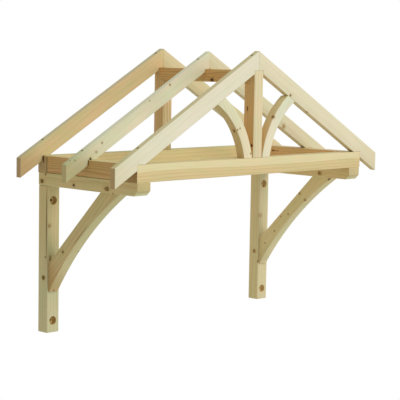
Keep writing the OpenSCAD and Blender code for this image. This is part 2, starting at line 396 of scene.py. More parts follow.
@dataclass(frozen=True)
class Softwood:
    """Planed redwood pine, treated: a matt, close surface with soft growth lines.

    The faces that look along the flat direction show one tone and the edges another; besides the wood's own
    tone, each of the two holds painted light and shade for the faces it covers. The rings are solid, so end
    grain and faces agree. Most rings are drawn two to three times too wide, since the true 3 to 4 mm would
    vanish in a small picture.

    Attributes:
        face: tone of the faces that look along the flat direction, with their painted light and shade.
        edge: tone of the others, with their painted light and shade.
        end: tone of the end grain.
        late: tint of the latewood.
        lateness: strength of the growth lines.
        ring: width of a ring.
        wander: how far the rings sway along the piece.
        heart: tint of the heartwood.
        heart_r: radius of the heartwood round the pith.
        heart_lines: strength of the growth lines in it.
        heart_edge: half the width of the heartwood's soft edge.
        streaks: strength of the fibres.
        mottle: strength of the patches of treatment.
        drift: slow change of tone along the piece, mostly painted shade and light.
        flat: the flat direction.
        matt: roughness on hard and on soft fibres.
        shine: strength of the surface's shine.
        relief: height of the fibres.
        relief_share: how far that height shows.
    """

    face: str
    edge: str
    end: str = "#c4aa78"
    late: str = "#b98d55"
    lateness: float = 0.12
    ring: float = 0.012
    wander: float = 0.030
    heart: str = "#f8efe2"
    heart_r: float = 0.0
    heart_lines: float = 0.30
    heart_edge: float = 0.003
    streaks: float = 0.30
    mottle: float = 0.6
    drift: Drift | None = None
    flat: Point = Y_AXIS
    matt: tuple[float, float] = (0.60, 0.74)
    shine: float = 0.3
    relief: float = 0.0006
    relief_share: float = 0.25

    def material(self, name: str, along: Point, pith: Point, knots: tuple[Knot, ...]) -> Material:
        """Makes the wood of one piece.

        Args:
            name: name of the piece, used in the material's name.
            along: direction of the fibres.
            pith: a point on the line that the rings run round.
            knots: knots of this piece.

        Returns:
            The finished material.
        """
        finish = Finish(f"planed_pine_{name}")
        run = Vector(along).normalized()
        turn = run.to_track_quat("X", "Y")
        local = add(finish.tree, "ShaderNodeMapping", {"vector_type": "TEXTURE"},
                    {"Vector": finish.place(), "Location": pith, "Rotation": turn.to_euler()}).outputs[0]
        reaches = [knot.reach(finish, local, turn.inverted(), Vector(pith)) for knot in knots]
        rings, heart = self.growth(finish, local, reaches)
        fibre = finish.noise(finish.vector("MULTIPLY", local, FIBRE), 3.0).outputs["Fac"]
        streak = finish.ramp(fibre, *STREAK_IN, high=self.streaks, shape="LINEAR")
        colour = self.tone(finish, local, run)
        for amount, tint in ((heart, self.heart), (rings, self.late), (streak, FIBRE_TINT)):
            colour = finish.mix(amount, colour, tint, "MULTIPLY")
        for reach, knot in zip(reaches, knots):
            colour = knot.lay(finish, colour, reach)

        # Planed pine: matt, a little shinier on the hard latewood, with fibres that just catch the light.
        height = finish.number("ADD", fibre, rings)
        bump = add(finish.tree, "ShaderNodeBump", {},
                   {"Strength": self.relief_share, "Distance": self.relief, "Height": height})
        rough = finish.ramp(fibre, *GLOSS_IN, *self.matt, "LINEAR")
        return finish.dress({"Base Color": colour, "Roughness": rough, "Specular IOR Level": self.shine,
                             "Normal": bump.outputs[0]})

    def growth(self, finish: Finish, local: Socket, reaches: list[Socket]) -> tuple[Socket, Socket]:
        """Draws the growth rings round the pith, swaying along the piece and pushed aside by knots.

        Args:
            finish: the wood's nodes.
            local: coordinates with X along the fibres and the pith at the origin.
            reaches: distance from each knot, in knot radii.

        Returns:
            How far each point is latewood, and how far it is heartwood.
        """
        cloud = finish.noise(finish.vector("MULTIPLY", local, SWAY), 2.0).outputs["Color"]
        sway = finish.vector("SUBTRACT", cloud, NOISE_MID)
        swayed = finish.vector("ADD", local, finish.vector("MULTIPLY", sway, self.wander * Vector(ACROSS)))
        for reach in reaches:
            aside = finish.ramp(reach, *PUSH_IN, high=self.ring * KNOT_PUSH)
            push = add(finish.tree, "ShaderNodeCombineXYZ", {}, {"Y": aside})
            swayed = finish.vector("ADD", swayed, push.outputs[0])
        rings = add(finish.tree, "ShaderNodeTexWave",
                    {"wave_type": "RINGS", "rings_direction": "X", "wave_profile": "SAW"},
                    {"Vector": swayed, "Scale": WAVE_TURN / self.ring, "Distortion": 0.6, "Detail": 2.0,
                     "Detail Scale": 0.4})
        late = finish.ramp(rings.outputs["Fac"], *LATE_IN)
        radius = finish.vector("LENGTH", finish.vector("MULTIPLY", swayed, ACROSS))
        heart = finish.ramp(radius, self.heart_r + self.heart_edge, self.heart_r - self.heart_edge)
        depth = finish.ramp(heart, 0.0, 1.0, self.lateness, self.heart_lines, "LINEAR")
        return finish.number("MULTIPLY", late, depth), heart

    def tone(self, finish: Finish, local: Socket, run: Vector) -> Socket:
        """Gives the ground colour: by the way the surface looks, which holds painted light and shade for each
        face, with cool and warm patches of treatment and the drift's painted shade along the piece.

        Args:
            finish: the wood's nodes.
            local: coordinates with X along the fibres.
            run: direction of the fibres.

        Returns:
            The colour.
        """
        normal = add(finish.tree, "ShaderNodeNewGeometry").outputs["Normal"]
        wide = finish.number("ABSOLUTE", finish.vector("DOT_PRODUCT", normal, self.flat))
        cross = finish.number("ABSOLUTE", finish.vector("DOT_PRODUCT", normal, run))
        # Face and edge tones: the wood's own tone with painted light and shade for each face.
        colour = finish.mix(finish.ramp(wide, *FACE_IN), self.edge, self.face)
        colour = finish.mix(finish.ramp(cross, *END_IN), colour, self.end)
        patch = finish.noise(finish.vector("MULTIPLY", local, PATCH), 3.0).outputs["Fac"]
        tint = finish.mix(finish.ramp(patch, *PATCH_IN), COOL_PATCH, WARM_PATCH)
        colour = finish.mix(self.mottle, colour, tint, "MULTIPLY")
        if self.drift is None:
            return colour
        # Painted shade and light along the piece, from the drift.
        along = add(finish.tree, "ShaderNodeSeparateXYZ", {}, {0: local}).outputs["X"]
        share = finish.ramp(along, self.drift.start, self.drift.stop)
        return finish.mix(1.0, colour, finish.mix(share, self.drift.near, self.drift.far), "MULTIPLY")


@dataclass(frozen=True)
class Speckle:
    """A surface of two close tones in fine specks.

    Attributes:
        tone: the ground tone.
        fleck: tone of the specks in it.
        name: the material's name.
        specks: specks for each metre.
        detail: layers of finer specks.
        roughness: how matt it is.
        metallic: one for metal.
        specular: strength of its shine.
    """

    tone: str
    fleck: str
    name: str
    specks: float
    detail: float
    roughness: float
    metallic: float = 0.0
    specular: float = 0.5

    def material(self) -> Material:
        """Makes the surface.

        Returns:
            The finished material.
        """
        finish = Finish(self.name)
        specks = finish.noise(finish.place(), self.detail, self.specks).outputs["Fac"]
        colour = finish.mix(specks, self.fleck, self.tone)
        return finish.dress({"Base Color": colour, "Metallic": self.metallic, "Roughness": self.roughness,
                             "Specular IOR Level": self.specular})


@dataclass(frozen=True)
class DrilledWood(Speckle):
    """Wall of a drilled hole in pine: fibres torn at about 4 mm, rough and brown."""

    tone: str = "#d6b981"
    fleck: str = "#b9975e"
    name: str = "drilled_pine"  # to the eye, a darker and rougher ring inside each hole
    specks: float = 260.0
    detail: float = 3.0
    roughness: float = 0.85
    specular: float = 0.2


@dataclass(frozen=True)
class ZincSteel(Speckle):
    """Yellow-passivated zinc on a countersunk screw: dull metal, mottled at about 1 mm."""

    tone: str = "#5a4f34"
    fleck: str = "#2e281a"
    name: str = "passivated_zinc_steel"  # to the eye, a dull dark dot
    specks: float = 900.0
    detail: float = 2.0
    roughness: float = 0.45
    metallic: float = 1.0


@dataclass(frozen=True)
class PalePaper(Speckle):
    """Pale paper under the canopy: matt and even, faintly clouded at about 100 mm."""

    tone: str = "#f4f3f0"
    fleck: str = "#efeeeb"
    name: str = "pale_paper"  # to the eye, white with soft shadows
    specks: float = 10.0
    detail: float = 2.0
    roughness: float = 0.9


@dataclass(frozen=True)
class Board:
    """The board that one piece is cut from: its wood and its knots."""

    wood: Softwood
    knots: tuple[Knot, ...] = ()


class TimberStack:
    """The boards of the canopy by the names of the pieces cut from them."""

    def __init__(self, boards: dict[str, Board]) -> None:
        """Keeps the boards.

        Args:
            boards: board of each piece.
        """
        self.boards = boards

    def cut(self, piece: str, along: Point, pith: Point) -> Material:
        """Takes the board for a piece.

        Args:
            piece: the piece's name.
            along: direction of its fibres.
            pith: a point on the line that its rings run round.

        Returns:
            The piece's finish.
        """
        board = self.boards[piece]
        return board.wood.material(piece, along, pith, board.knots)

    def pair(self, piece: str, along: Point, pith: Point) -> dict[Side, Material]:
        """Takes the boards for a piece and its mirror image.

        Args:
            piece: the pieces' name without their side.
            along: direction of the right-hand piece's fibres.
            pith: a point on the line that the right-hand piece's rings run round.

        Returns:
            The finish for each side.
        """
        return {side: self.cut(f"{side.hand}_{piece}", (side.value * along[0], *along[1:]),
                               (side.value * pith[0], *pith[1:])) for side in Side}


class Bench:
    """Bench operations on a single piece, each made with Blender's own operators."""

    @staticmethod
    def pick(piece: Piece) -> None:
        """Selects one piece alone and makes it active.

        Args:
            piece: the piece.
        """
        bpy.ops.object.select_all(action="DESELECT")
        piece.select_set(True)
        bpy.context.view_layer.objects.active = piece

    @staticmethod
    def made(name: str, material: Material | None) -> Piece:
        """Names the primitive just added and bakes its place into its mesh.

        Args:
            name: the piece's name.
            material: its finish, or None for a cutter or a pattern piece.

        Returns:
            The piece.
        """
        piece = bpy.context.active_object
        piece.name = piece.data.name = name
        bpy.ops.object.transform_apply(location=True, rotation=True, scale=True)
        if material is not None:
            piece.data.materials.append(material)
        return piece

    @staticmethod
    def block(name: str, low: Point, high: Point, material: Material | None = None) -> Piece:
        """Cuts a plain block to length.

        Args:
            name: the piece's name.
            low: one corner.
            high: the opposite corner.
            material: its finish.

        Returns:
            The block.
        """
        a, b = Vector(low), Vector(high)
        bpy.ops.object.select_all(action="DESELECT")
        bpy.ops.mesh.primitive_cube_add(size=1.0, location=(a + b) / 2, scale=[abs(c) for c in b - a])
        return Bench.made(name, material)

    @staticmethod
    def rod(name: str, start: Point, end: Point, radius: float, sides: int,
            material: Material | None = None) -> Piece:
        """Turns a round rod between two points.

        Args:
            name: the piece's name.
            start: middle of one end.
            end: middle of the other end.
            radius: the rod's radius.
            sides: facets round the rod.
            material: its finish.

        Returns:
            The rod.
        """
        a, b = Vector(start), Vector(end)
        way = b - a
        bpy.ops.object.select_all(action="DESELECT")
        turn = way.to_track_quat("Z", "Y").to_euler()
        bpy.ops.mesh.primitive_cylinder_add(vertices=sides, radius=radius, depth=way.length,
                                            location=(a + b) / 2, rotation=turn)
        return Bench.made(name, material)

    @staticmethod
    def saw(piece: Piece, point: Point, waste: Point) -> None:
        """Saws a piece through and drops the part on the waste side.

        Args:
            piece: the piece to cut.
            point: a point on the cut.
            waste: direction from the cut towards the waste.
        """
        Bench.pick(piece)
        bpy.ops.object.mode_set(mode="EDIT")
        bpy.ops.mesh.select_all(action="SELECT")
        bpy.ops.mesh.bisect(plane_co=point, plane_no=Vector(waste).normalized(), use_fill=True,
                            clear_outer=True)
        bpy.ops.object.mode_set(mode="OBJECT")

    @staticmethod
    def cut(piece: Piece, cutter: Piece) -> None:
        """Takes a cutter's shape out of a piece; the cut faces keep the cutter's finish if it has one.

        Args:
            piece: the piece to cut.
            cutter: the shape to remove, deleted afterwards.
        """
        Bench.pick(piece)
        bpy.ops.object.modifier_add(type="BOOLEAN")
        tool = piece.modifiers[-1]
        tool.operation = "DIFFERENCE"
        tool.solver = "EXACT"
        tool.object = cutter
        if cutter.data.materials:
            tool.material_mode = "TRANSFER"
        bpy.ops.object.modifier_apply(modifier=tool.name)
        Bench.drop(cutter)
        Bench.clean(piece)

    @staticmethod
    def face_on(piece: Piece, way: Point) -> None:
        """Opens a piece for editing with the faces that look one way selected.

        Args:
            piece: the piece.
            way: direction that the faces look.
        """
        Bench.pick(piece)
        bpy.context.tool_settings.mesh_select_mode = (False, False, True)
        bpy.ops.object.mode_set(mode="EDIT")
        bpy.ops.mesh.select_all(action="DESELECT")
        bpy.ops.object.mode_set(mode="OBJECT")
        look = Vector(way).normalized()
        for polygon in piece.data.polygons:
            polygon.select = polygon.normal.dot(look) > FACING
        bpy.ops.object.mode_set(mode="EDIT")

    @staticmethod
    def stretch(piece: Piece, move: Point) -> None:
        """Pulls the end of a piece out square.

        Args:
            piece: the piece.
            move: way and length of the pull.
        """
        Bench.face_on(piece, move)
        bpy.ops.mesh.extrude_region_move(TRANSFORM_OT_translate={"value": move})
        bpy.ops.object.mode_set(mode="OBJECT")
        Bench.clean(piece)

    @staticmethod
    def ease(piece: Piece, width: float = 0.0025) -> None:
        """Rounds every arris as a planer and sandpaper leave it.

        Args:
            piece: the piece to ease.
            width: reach of the rounding on each face.
        """
        Bench.pick(piece)
        bpy.ops.object.modifier_add(type="BEVEL")
        tool = piece.modifiers[-1]
        tool.width = width
        tool.segments = 3
        tool.limit_method = "ANGLE"
        tool.angle_limit = ARRIS
        bpy.ops.object.modifier_apply(modifier=tool.name)
        Bench.clean(piece)

    @staticmethod
    def copy(piece: Piece, name: str, finishes: tuple[Material, ...] = (), scale: Point = (1, 1, 1),
             tilt: float = 0.0, move: Point = (0, 0, 0)) -> Piece:
        """Copies a piece with its own mesh, mirrored, tilted and moved as asked.

        Args:
            piece: the piece to copy.
            name: the copy's name.
            finishes: the copy's finishes, in the order of the piece's own.
            scale: stretch along each axis, minus one where the copy is mirrored.
            tilt: turn about the Y axis.
            move: way from the piece to its copy.

        Returns:
            The copy.
        """
        Bench.pick(piece)
        bpy.ops.object.duplicate(linked=False)
        twin = bpy.context.active_object
        twin.name = twin.data.name = name
        twin.scale, twin.rotation_euler, twin.location = scale, (0, tilt, 0), move
        bpy.ops.object.transform_apply(location=True, rotation=True, scale=True)
        for place, finish in enumerate(finishes):
            if place < len(twin.data.materials):
                twin.data.materials[place] = finish
            else:
                twin.data.materials.append(finish)
        return twin

    @staticmethod
    def drop(piece: Piece) -> None:
        """Throws a cutter or a pattern piece away."""
        Bench.pick(piece)
        bpy.ops.object.delete()

    @staticmethod
    def clean(piece: Piece) -> None:
        """Merges doubles, clears slivers and turns the faces outwards.

        Args:
            piece: the piece, left as the one selected.
        """
        Bench.pick(piece)
        bpy.ops.object.mode_set(mode="EDIT")
        bpy.ops.mesh.select_all(action="SELECT")
        bpy.ops.mesh.remove_doubles(threshold=TINY)
        bpy.ops.mesh.dissolve_degenerate(threshold=TINY)
        bpy.ops.mesh.select_all(action="SELECT")
        bpy.ops.mesh.normals_make_consistent(inside=False)
        bpy.ops.object.mode_set(mode="OBJECT")


def seat(piece: Piece, slot: str, *nodes: str) -> None:
    """Fixes a finished piece to the frame.

    Args:
        piece: the finished piece.
        slot: the record's material slot that it would take; not used.
        nodes: the solids that it stands for.
    """
    Bench.clean(piece)
    bpy.ops.object.shade_smooth_by_angle(angle=SMOOTH)
    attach(piece, "root")
    if nodes:
        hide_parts(*nodes)
    LOG.info("%s: %d faces", piece.name, len(piece.data.polygons))


def seat_pair(piece: Piece, finishes: tuple[Material, ...], slot: str, node: str) -> None:
    """Copies a finished right-hand piece to the left and fixes both to the frame.

    Args:
        piece: the right-hand piece.
        finishes: finishes of the left-hand copy, in the order of the piece's own.
        slot: the record's material slot for both, passed on to seat, which does not use it.
        node: name of the solids that they stand for, without the side.
    """
    twin = Bench.copy(piece, piece.name.replace("right", "left"), finishes, scale=(-1, 1, 1))
    seat(twin, slot, f"left_{node}")
    seat(piece, slot, f"right_{node}")


@dataclass
class GallowsBrackets:
    """The two brackets, each a wall post, a level arm and a hollow-curved brace, pegged together."""

    stack: TimberStack
    brace_w: float = 0.050
    brace_leg: float = 0.337
    brace_foot: float = 0.455
    brace_toe: float = 0.008
    brace_sag: float = 0.032
    brace_nib: float = 0.0065
    arm_bevel: float = 0.020
    shoulder: float = 0.0012
    peg_r: float = 0.009
    peg_fit: float = 0.0004
    peg_ease: float = 0.0012
    peg_set: float = 0.0185
    peg_in: float = 0.005
    foot_peg_set: float = 0.023
    foot_peg_low: float = 0.006
    peg_sink: float = 0.0035
    bolt_r: float = 0.006
    counterbore_r: float = 0.019
    counterbore_l: float = 0.018
    bolt_low: float = 0.052
    bolt_high: float = 0.065

    def __post_init__(self) -> None:
        """Prepares the finishes of the drilled holes."""
        self.drilled = DrilledWood().material()
        # Each side gets its own bore and hole tones, which hold painted light and shade.
        self.bored = {side: DrilledWood(*BORES[side]).material() for side in Side}
        self.holes = {side: [DrilledWood(*tones).material() for tones in BOLT_HOLES[side]] for side in Side}

    def pegs(self) -> dict[str, tuple[float, float]]:
        """Works out where the three pegs go.

        Returns:
            The Y and Z of each peg, by joint.
        """
        s = SIZES
        seat_mid = (self.brace_leg + self.brace_foot) / 2
        return {
            "post": (-s.stock_t / 2 + self.peg_in, s.arm_bot + self.peg_set),
            "arm": (-s.stock_t - seat_mid + self.peg_in, s.arm_bot + self.peg_set),
            "foot": (-s.stock_t + self.foot_peg_set, s.arm_bot - seat_mid - self.foot_peg_low),
        }

    def drill(self, piece: Piece, joints: tuple[str, ...]) -> None:
        """Drills the peg holes of some joints through a piece.

        Args:
            piece: the post or the arm.
            joints: names of the joints.
        """
        inner, outer = SIZES.half - SIZES.stock_w - PAST, SIZES.half + PAST
        for joint in joints:
            place = self.pegs()[joint]
            Bench.cut(piece, Bench.rod("bit", (inner, *place), (outer, *place), self.peg_r + self.peg_fit,
                                       PEG_SIDES, self.drilled))

    def build_posts(self) -> None:
        """Builds the wall posts with their counterbored bolt holes."""
        s = SIZES
        x = s.post_mid
        pith = (s.half + 0.03, 0.02, 0)
        wood = self.stack.pair("post", Z_AXIS, pith)
        post = Bench.block("right_post", (x - s.post_w / 2, -s.stock_t, s.post_bot),
                           (x + s.post_w / 2, 0, s.arm_bot - self.shoulder), wood[Side.RIGHT])
        Bench.ease(post)
        bore = self.bored[Side.RIGHT]
        bore_end = -s.stock_t + self.counterbore_l
        low, high = self.holes[Side.RIGHT]
        for z, hole in ((s.post_bot + self.bolt_low, low), (s.arm_bot - self.bolt_high, high)):
            for y0, y1, radius, sides, finish in (
                (PAST, bore_end - PAST, self.bolt_r, BOLT_SIDES, hole),
                (bore_end, -s.stock_t - PAST, self.counterbore_r, BORE_SIDES, bore),
            ):
                Bench.cut(post, Bench.rod("bit", (x, y0, z), (x, y1, z), radius, sides, finish))
        self.drill(post, ("foot",))
        low, high = self.holes[Side.LEFT]
        left = (wood[Side.LEFT], low, self.bored[Side.LEFT], high, self.drilled)
        seat_pair(post, left, "bracket_timber", "wall_post")

    def build_arms(self) -> None:
        """Builds the arms with their bevelled noses."""
        s = SIZES
        pith = (s.half - 0.12, 0, -0.11)
        wood = self.stack.pair("arm", Y_AXIS, pith)
        arm = Bench.block("right_arm", (s.half - s.stock_w, -s.projection, s.arm_bot),
                          (s.half, 0, -s.beam_top), wood[Side.RIGHT])
        Bench.saw(arm, (s.half, -s.projection + self.arm_bevel, s.arm_bot), (0, -1, -1))
        Bench.ease(arm)
        self.drill(arm, ("post", "arm"))
        seat_pair(arm, (wood[Side.LEFT], self.drilled), "bracket_timber", "bracket_arm")

    def build_braces(self) -> None:
        """Builds the braces: straight above, hollowed below, with a short square nib at the toe."""
        s = SIZES
        pith = (s.half + 0.05, -0.2, -0.4)
        wood = self.stack.pair("brace", (0, -1, 1), pith)
        x0, x1 = s.post_mid - self.brace_w / 2, s.post_mid + self.brace_w / 2
        brace = Bench.block("right_brace", (x0, -s.stock_t - self.brace_foot, s.arm_bot - self.brace_foot),
                            (x1, -s.stock_t, s.arm_bot), wood[Side.RIGHT])
        Bench.saw(brace, (x0, -s.stock_t, s.arm_bot - self.brace_leg), (0, 1, 1))
        toe = Vector((-s.stock_t - self.brace_toe, s.arm_bot - self.brace_foot))
        head = Vector((-s.stock_t - self.brace_foot, s.arm_bot))
        chord = (head - toe).length
        radius = (chord ** 2 / 4 + self.brace_sag ** 2) / (2 * self.brace_sag)
        out = Vector((toe.y - head.y, head.x - toe.x)) / chord
        centre = (toe + head) / 2 + out * (radius - self.brace_sag)
        Bench.cut(brace, Bench.rod("drum", (x0 - SPARE, *centre), (x1 + SPARE, *centre), radius, DRUM_SIDES))
        Bench.stretch(brace, (0, 0, -self.brace_nib))
        Bench.ease(brace)
        seat_pair(brace, (wood[Side.LEFT],), "bracket_timber", "bracket_brace")

    def build_pegs(self) -> None:
        """Turns one peg and copies it into every joint, a little shorter through the posts."""
        s = SIZES
        length = s.stock_w - 2 * self.peg_sink
        peg = Bench.rod("peg", (-length / 2, 0, 0), (length / 2, 0, 0), self.peg_r, PEG_SIDES)
        Bench.ease(peg, self.peg_ease)
        for joint, (y, z) in self.pegs().items():
            pith = (0, y + 0.02, z - 0.01)
            wood = self.stack.pair(f"{joint}_peg", X_AXIS, pith)
            mid, width = (s.post_mid, s.post_w) if joint == "foot" else (s.half - s.stock_w / 2, s.stock_w)
            stretch = (width - 2 * self.peg_sink) / length
            for side in Side:
                twin = Bench.copy(peg, f"{side.hand}_{joint}_peg_end", (wood[side],), scale=(stretch, 1, 1),
                                  move=(side.value * mid, y, z))
                seat(twin, "peg_timber", f"{side.hand}_{joint}_peg")
        Bench.drop(peg)

    def build(self) -> None:
        """Builds all the pieces of both brackets."""
        self.build_posts()
        self.build_arms()
        self.build_braces()
        self.build_pegs()


@dataclass
class WallPlateFrame:
    """The level frame on the arms: two tie beams and, let into the back one, two side plates."""

    stack: TimberStack
    housing: float = 0.005
    end_gap: float = 0.0025
    kerf: float = 0.0028
    kerf_in: float = 0.010

    def build_beams(self) -> None:
        """Builds the front tie beam and copies it to the wall, with seats for the plates at its ends."""
        s = SIZES
        front_pith = (0, -s.projection + 0.060, -0.075)
        back_pith = (0, 0.030, -0.090)
        front = self.stack.cut("front_beam", X_AXIS, front_pith)
        back = self.stack.cut("back_beam", X_AXIS, back_pith)
        beam = Bench.block("front_beam", (-s.half - SPARE, -s.projection, -s.beam_top),
                           (s.half + SPARE, -s.projection + s.stock_t, s.beam_top), front)
        Bench.ease(beam)
        for side in Side:
            Bench.saw(beam, (side.value * s.frame_half, 0, 0), (side.value, 0, 0))
        wall_beam = Bench.copy(beam, "back_beam", (back,), move=(0, s.projection - s.stock_t, 0))
        for side in Side:
            inner = (side.value * (s.half - s.stock_t), -s.stock_t - PAST, -s.beam_top - PAST)
            outer = (side.value * (s.half + SPARE), -s.stock_t + self.housing, s.beam_top + PAST)
            Bench.cut(wall_beam, Bench.block("seat", inner, outer))
        seat(beam, "beam_timber", "front_tie_beam")
        seat(wall_beam, "beam_timber", "back_tie_beam")

    def build_plates(self) -> None:
        """Builds the side plates, which leave a fine shadow gap on the arms."""
        s = SIZES
        pith = (s.half - 0.09, 0, -0.05)
        wood = self.stack.pair("plate", Y_AXIS, pith)
        inner_x = s.frame_half - s.stock_t
        plate = Bench.block("right_plate", (inner_x, -s.projection + s.stock_t, -s.beam_top),
                            (s.frame_half, -s.stock_t + self.housing - self.end_gap, s.beam_top),
                            wood[Side.RIGHT])
        Bench.ease(plate)
        for x, inward in ((s.frame_half, -1), (inner_x, 1)):
            Bench.cut(plate, Bench.block("kerf", (x - inward * PAST, -s.projection, -s.beam_top - PAST),
                                         (x + inward * self.kerf_in, PAST, -s.beam_top + self.kerf)))
        seat_pair(plate, (wood[Side.LEFT],), "beam_timber", "side_plate")

    def build(self) -> None:
        """Builds the beams and the plates."""
        self.build_beams()
        self.build_plates()


@dataclass
class GableFrame:
    """King posts, ridge beam and the two arched struts of the front gable."""

    stack: TimberStack
    strut_w: float = 0.0485
    strut_t: float = 0.0425
    strut_r: float = 0.400
    strut_sweep: float = math.radians(66)
    strut_steps: int = 44
    strut_ease: float = 0.002
    strut_drop: dict[Side, float] = field(default_factory=lambda: {Side.LEFT: 0.070, Side.RIGHT: 0.056})
    strut_gap: dict[Side, float] = field(default_factory=lambda: {Side.LEFT: 0.0055, Side.RIGHT: 0.0035})

    def build_kings(self) -> None:
        """Builds the king posts, each with a tongue left standing beside the end of the ridge."""
        s = SIZES
        h = s.slim / 2
        y = -s.projection
        front_pith = (-0.06, y + 0.07, 0)
        back_pith = (-0.06, -s.stock_t + 0.07, 0)
        front = self.stack.cut("front_king", Z_AXIS, front_pith)
        back = self.stack.cut("back_king", Z_AXIS, back_pith)
        king = Bench.block("front_king", (-h, y, s.beam_top), (h, y + s.stock_t, s.ridge_top), front)
        Bench.cut(king, Bench.block("notch", (-h - PAST, y + s.rafter_t, s.ridge_bot),
                                    (h + PAST, y + s.stock_t + PAST, s.ridge_top + PAST)))
        Bench.ease(king)
        wall_king = Bench.copy(king, "back_king", (back,), scale=(1, -1, 1), move=(0, y, 0))
        seat(king, "beam_timber", "front_king_post")
        seat(wall_king, "beam_timber", "back_king_post")

    def build_ridge(self) -> None:
        """Builds the ridge beam."""
        s = SIZES
        h = s.slim / 2
        pith = (-0.02, 0, s.ridge_bot - 0.04)
        wood = self.stack.cut("ridge", Y_AXIS, pith)
        ridge = Bench.block("ridge", (-h, -s.projection + s.rafter_t, s.ridge_bot),
                            (h, -s.rafter_t, s.ridge_top), wood)
        Bench.ease(ridge)
        seat(ridge, "beam_timber", "ridge_beam")

    def build_strut(self, side: Side) -> None:
        """Builds one strut: its section is swept along the arc, then sawn to the beam and the rafter.

        Args:
            side: left or right.
        """
        s = SIZES
        sign = side.value
        drop = self.strut_drop[side]
        cx = s.slim / 2 + self.strut_gap[side] + math.sqrt(self.strut_r ** 2 - drop ** 2)
        cz = s.beam_top - drop
        y = -s.projection + self.strut_t / 2
        fibres = (sign * 0.5, 0, 0.85)
        pith = (sign * 0.16, y + 0.05, 0.1)
        wood = self.stack.cut(f"{side.hand}_strut", fibres, pith)
        start = (sign * (cx - self.strut_r + self.strut_w / 2), y, cz)
        bpy.ops.object.select_all(action="DESELECT")
        bpy.ops.mesh.primitive_plane_add(size=self.strut_w, location=start)
        strut = Bench.made(f"{side.hand}_strut_arch", wood)
        bpy.ops.object.mode_set(mode="EDIT")
        bpy.ops.mesh.select_all(action="SELECT")
        bpy.ops.transform.resize(value=(1.0, self.strut_t / self.strut_w, 1.0))
        bpy.ops.mesh.spin(steps=self.strut_steps, angle=-sign * self.strut_sweep, center=(sign * cx, y, cz),
                          axis=Y_AXIS)
        bpy.ops.object.mode_set(mode="OBJECT")
        Bench.clean(strut)
        Bench.saw(strut, (0, y, s.beam_top), (0, 0, -1))
        Bench.saw(strut, (0, y, s.ridge_top), s.roof_out(side))
        Bench.ease(strut, self.strut_ease)
        seat(strut, "rafter_timber", f"{side.hand}_strut")

    def build(self) -> None:
        """Builds all the pieces of the gable frame."""
        self.build_kings()
        self.build_ridge()
        for side in Side:
            self.build_strut(side)


@dataclass
class RafterPair:
    """Two rafters that meet at the apex and sit over the ridge and the beam ends."""

    bay: Bay
    stack: TimberStack
    overrun: float = 0.09
    arris: float = 0.002
    sink_r: float = 0.0056
    sink: float = 0.0045
    sink_tone: str = "#8a6f42"
    lift: float = 0.0008
    plumb_gap: float = 0.0003
    front_gap: float = 0.0005
    back_gap: float = 0.001
    pith_back: float = 0.05
    pith_rise: float = 0.1

    def __post_init__(self) -> None:
        """Prepares the finish of the drilled holes."""
        self.drilled = DrilledWood(self.sink_tone).material()

    def back_y(self) -> float:
        """Works out the Y of the pair's back faces.

        Returns:
            The Y.
        """
        s = SIZES
        return {
            Bay.FRONT: -s.projection + s.rafter_t,
            Bay.MIDDLE: -s.projection / 2 + s.rafter_t / 2,
            Bay.BACK: 0.0,
        }[self.bay]

    def depth(self) -> float:
        """Gives the depth of the pair's rafters."""
        return SIZES.mid_rafter_d if self.bay is Bay.MIDDLE else SIZES.stock_w

    def base(self) -> float:
        """Gives the level where the pair's undersides would meet."""
        return SIZES.ridge_top + SIZES.heel - (SIZES.heel if self.bay is Bay.FRONT else SIZES.inner_heel)

    def gap(self) -> float:
        """Works out the gap between the pair's notches and the arms, closed up in the front gable.

        Returns:
            The gap.
        """
        s = SIZES
        return {
            Bay.FRONT: s.overhang + self.front_gap,
            Bay.MIDDLE: s.mid_heel_gap,
            Bay.BACK: s.overhang + self.back_gap,
        }[self.bay]

    def top(self, side: Side, x: float) -> Vector:
        """Gives a point on the middle of a rafter's top.

        Args:
            side: left or right.
            x: distance from the middle of the canopy.

        Returns:
            The point.
        """
        s = SIZES
        level = self.base() - x * s.rise + self.depth() / math.cos(s.pitch)
        return Vector((side.value * x, self.back_y() - s.rafter_t / 2, level))

    def build(self) -> None:
        """Saws a rafter from a sloping bar, notches it, sinks its screw holes and copies it to the left."""
        s = SIZES
        y1 = self.back_y()
        y0 = y1 - s.rafter_t
        d = self.depth()
        down = Vector((math.cos(s.pitch), 0, -math.sin(s.pitch)))
        up = s.roof_out(Side.RIGHT)
        length = (s.half + s.tail) / math.cos(s.pitch) + 2 * self.overrun
        apex = Vector((0, (y0 + y1) / 2, self.base()))
        centre = apex + down * (length / 2 - self.overrun) + up * (d / 2)
        pith = apex + up * (d * self.pith_rise) + Vector((0, self.pith_back + s.rafter_t / 2, 0))
        wood = self.stack.pair(f"{self.bay.value}_rafter", down, pith)
        bpy.ops.object.select_all(action="DESELECT")
        bpy.ops.mesh.primitive_cube_add(size=1.0, location=centre, rotation=(0, s.pitch, 0),
                                        scale=(length, s.rafter_t, d))
        rafter = Bench.made(f"right_{self.bay.value}_rafter_bar", wood[Side.RIGHT])
        Bench.saw(rafter, (s.half + s.tail, y0, 0), X_AXIS)
        Bench.ease(rafter, self.arris)
        Bench.saw(rafter, (self.plumb_gap, y0, 0), (-1, 0, 0))
        ridge_end = (s.slim / 2, y1 + PAST, s.ridge_top)
        beam_end = (s.half + self.gap(), y1 + PAST, s.beam_top + self.lift)
        Bench.cut(rafter, Bench.block("notch", (-SPARE, y0 - PAST, s.ridge_bot), ridge_end))
        Bench.cut(rafter, Bench.block("notch", (s.half - s.stock_w, y0 - PAST, -s.beam_top), beam_end))
        for x in SCREWS[self.bay].values():
            spot = self.top(Side.RIGHT, x)
            Bench.cut(rafter, Bench.rod("bit", spot - up * self.sink, spot + up * PAST, self.sink_r,
                                        SCREW_SIDES, self.drilled))
        seat_pair(rafter, (wood[Side.LEFT], self.drilled), "rafter_timber", f"{self.bay.value}_rafter")


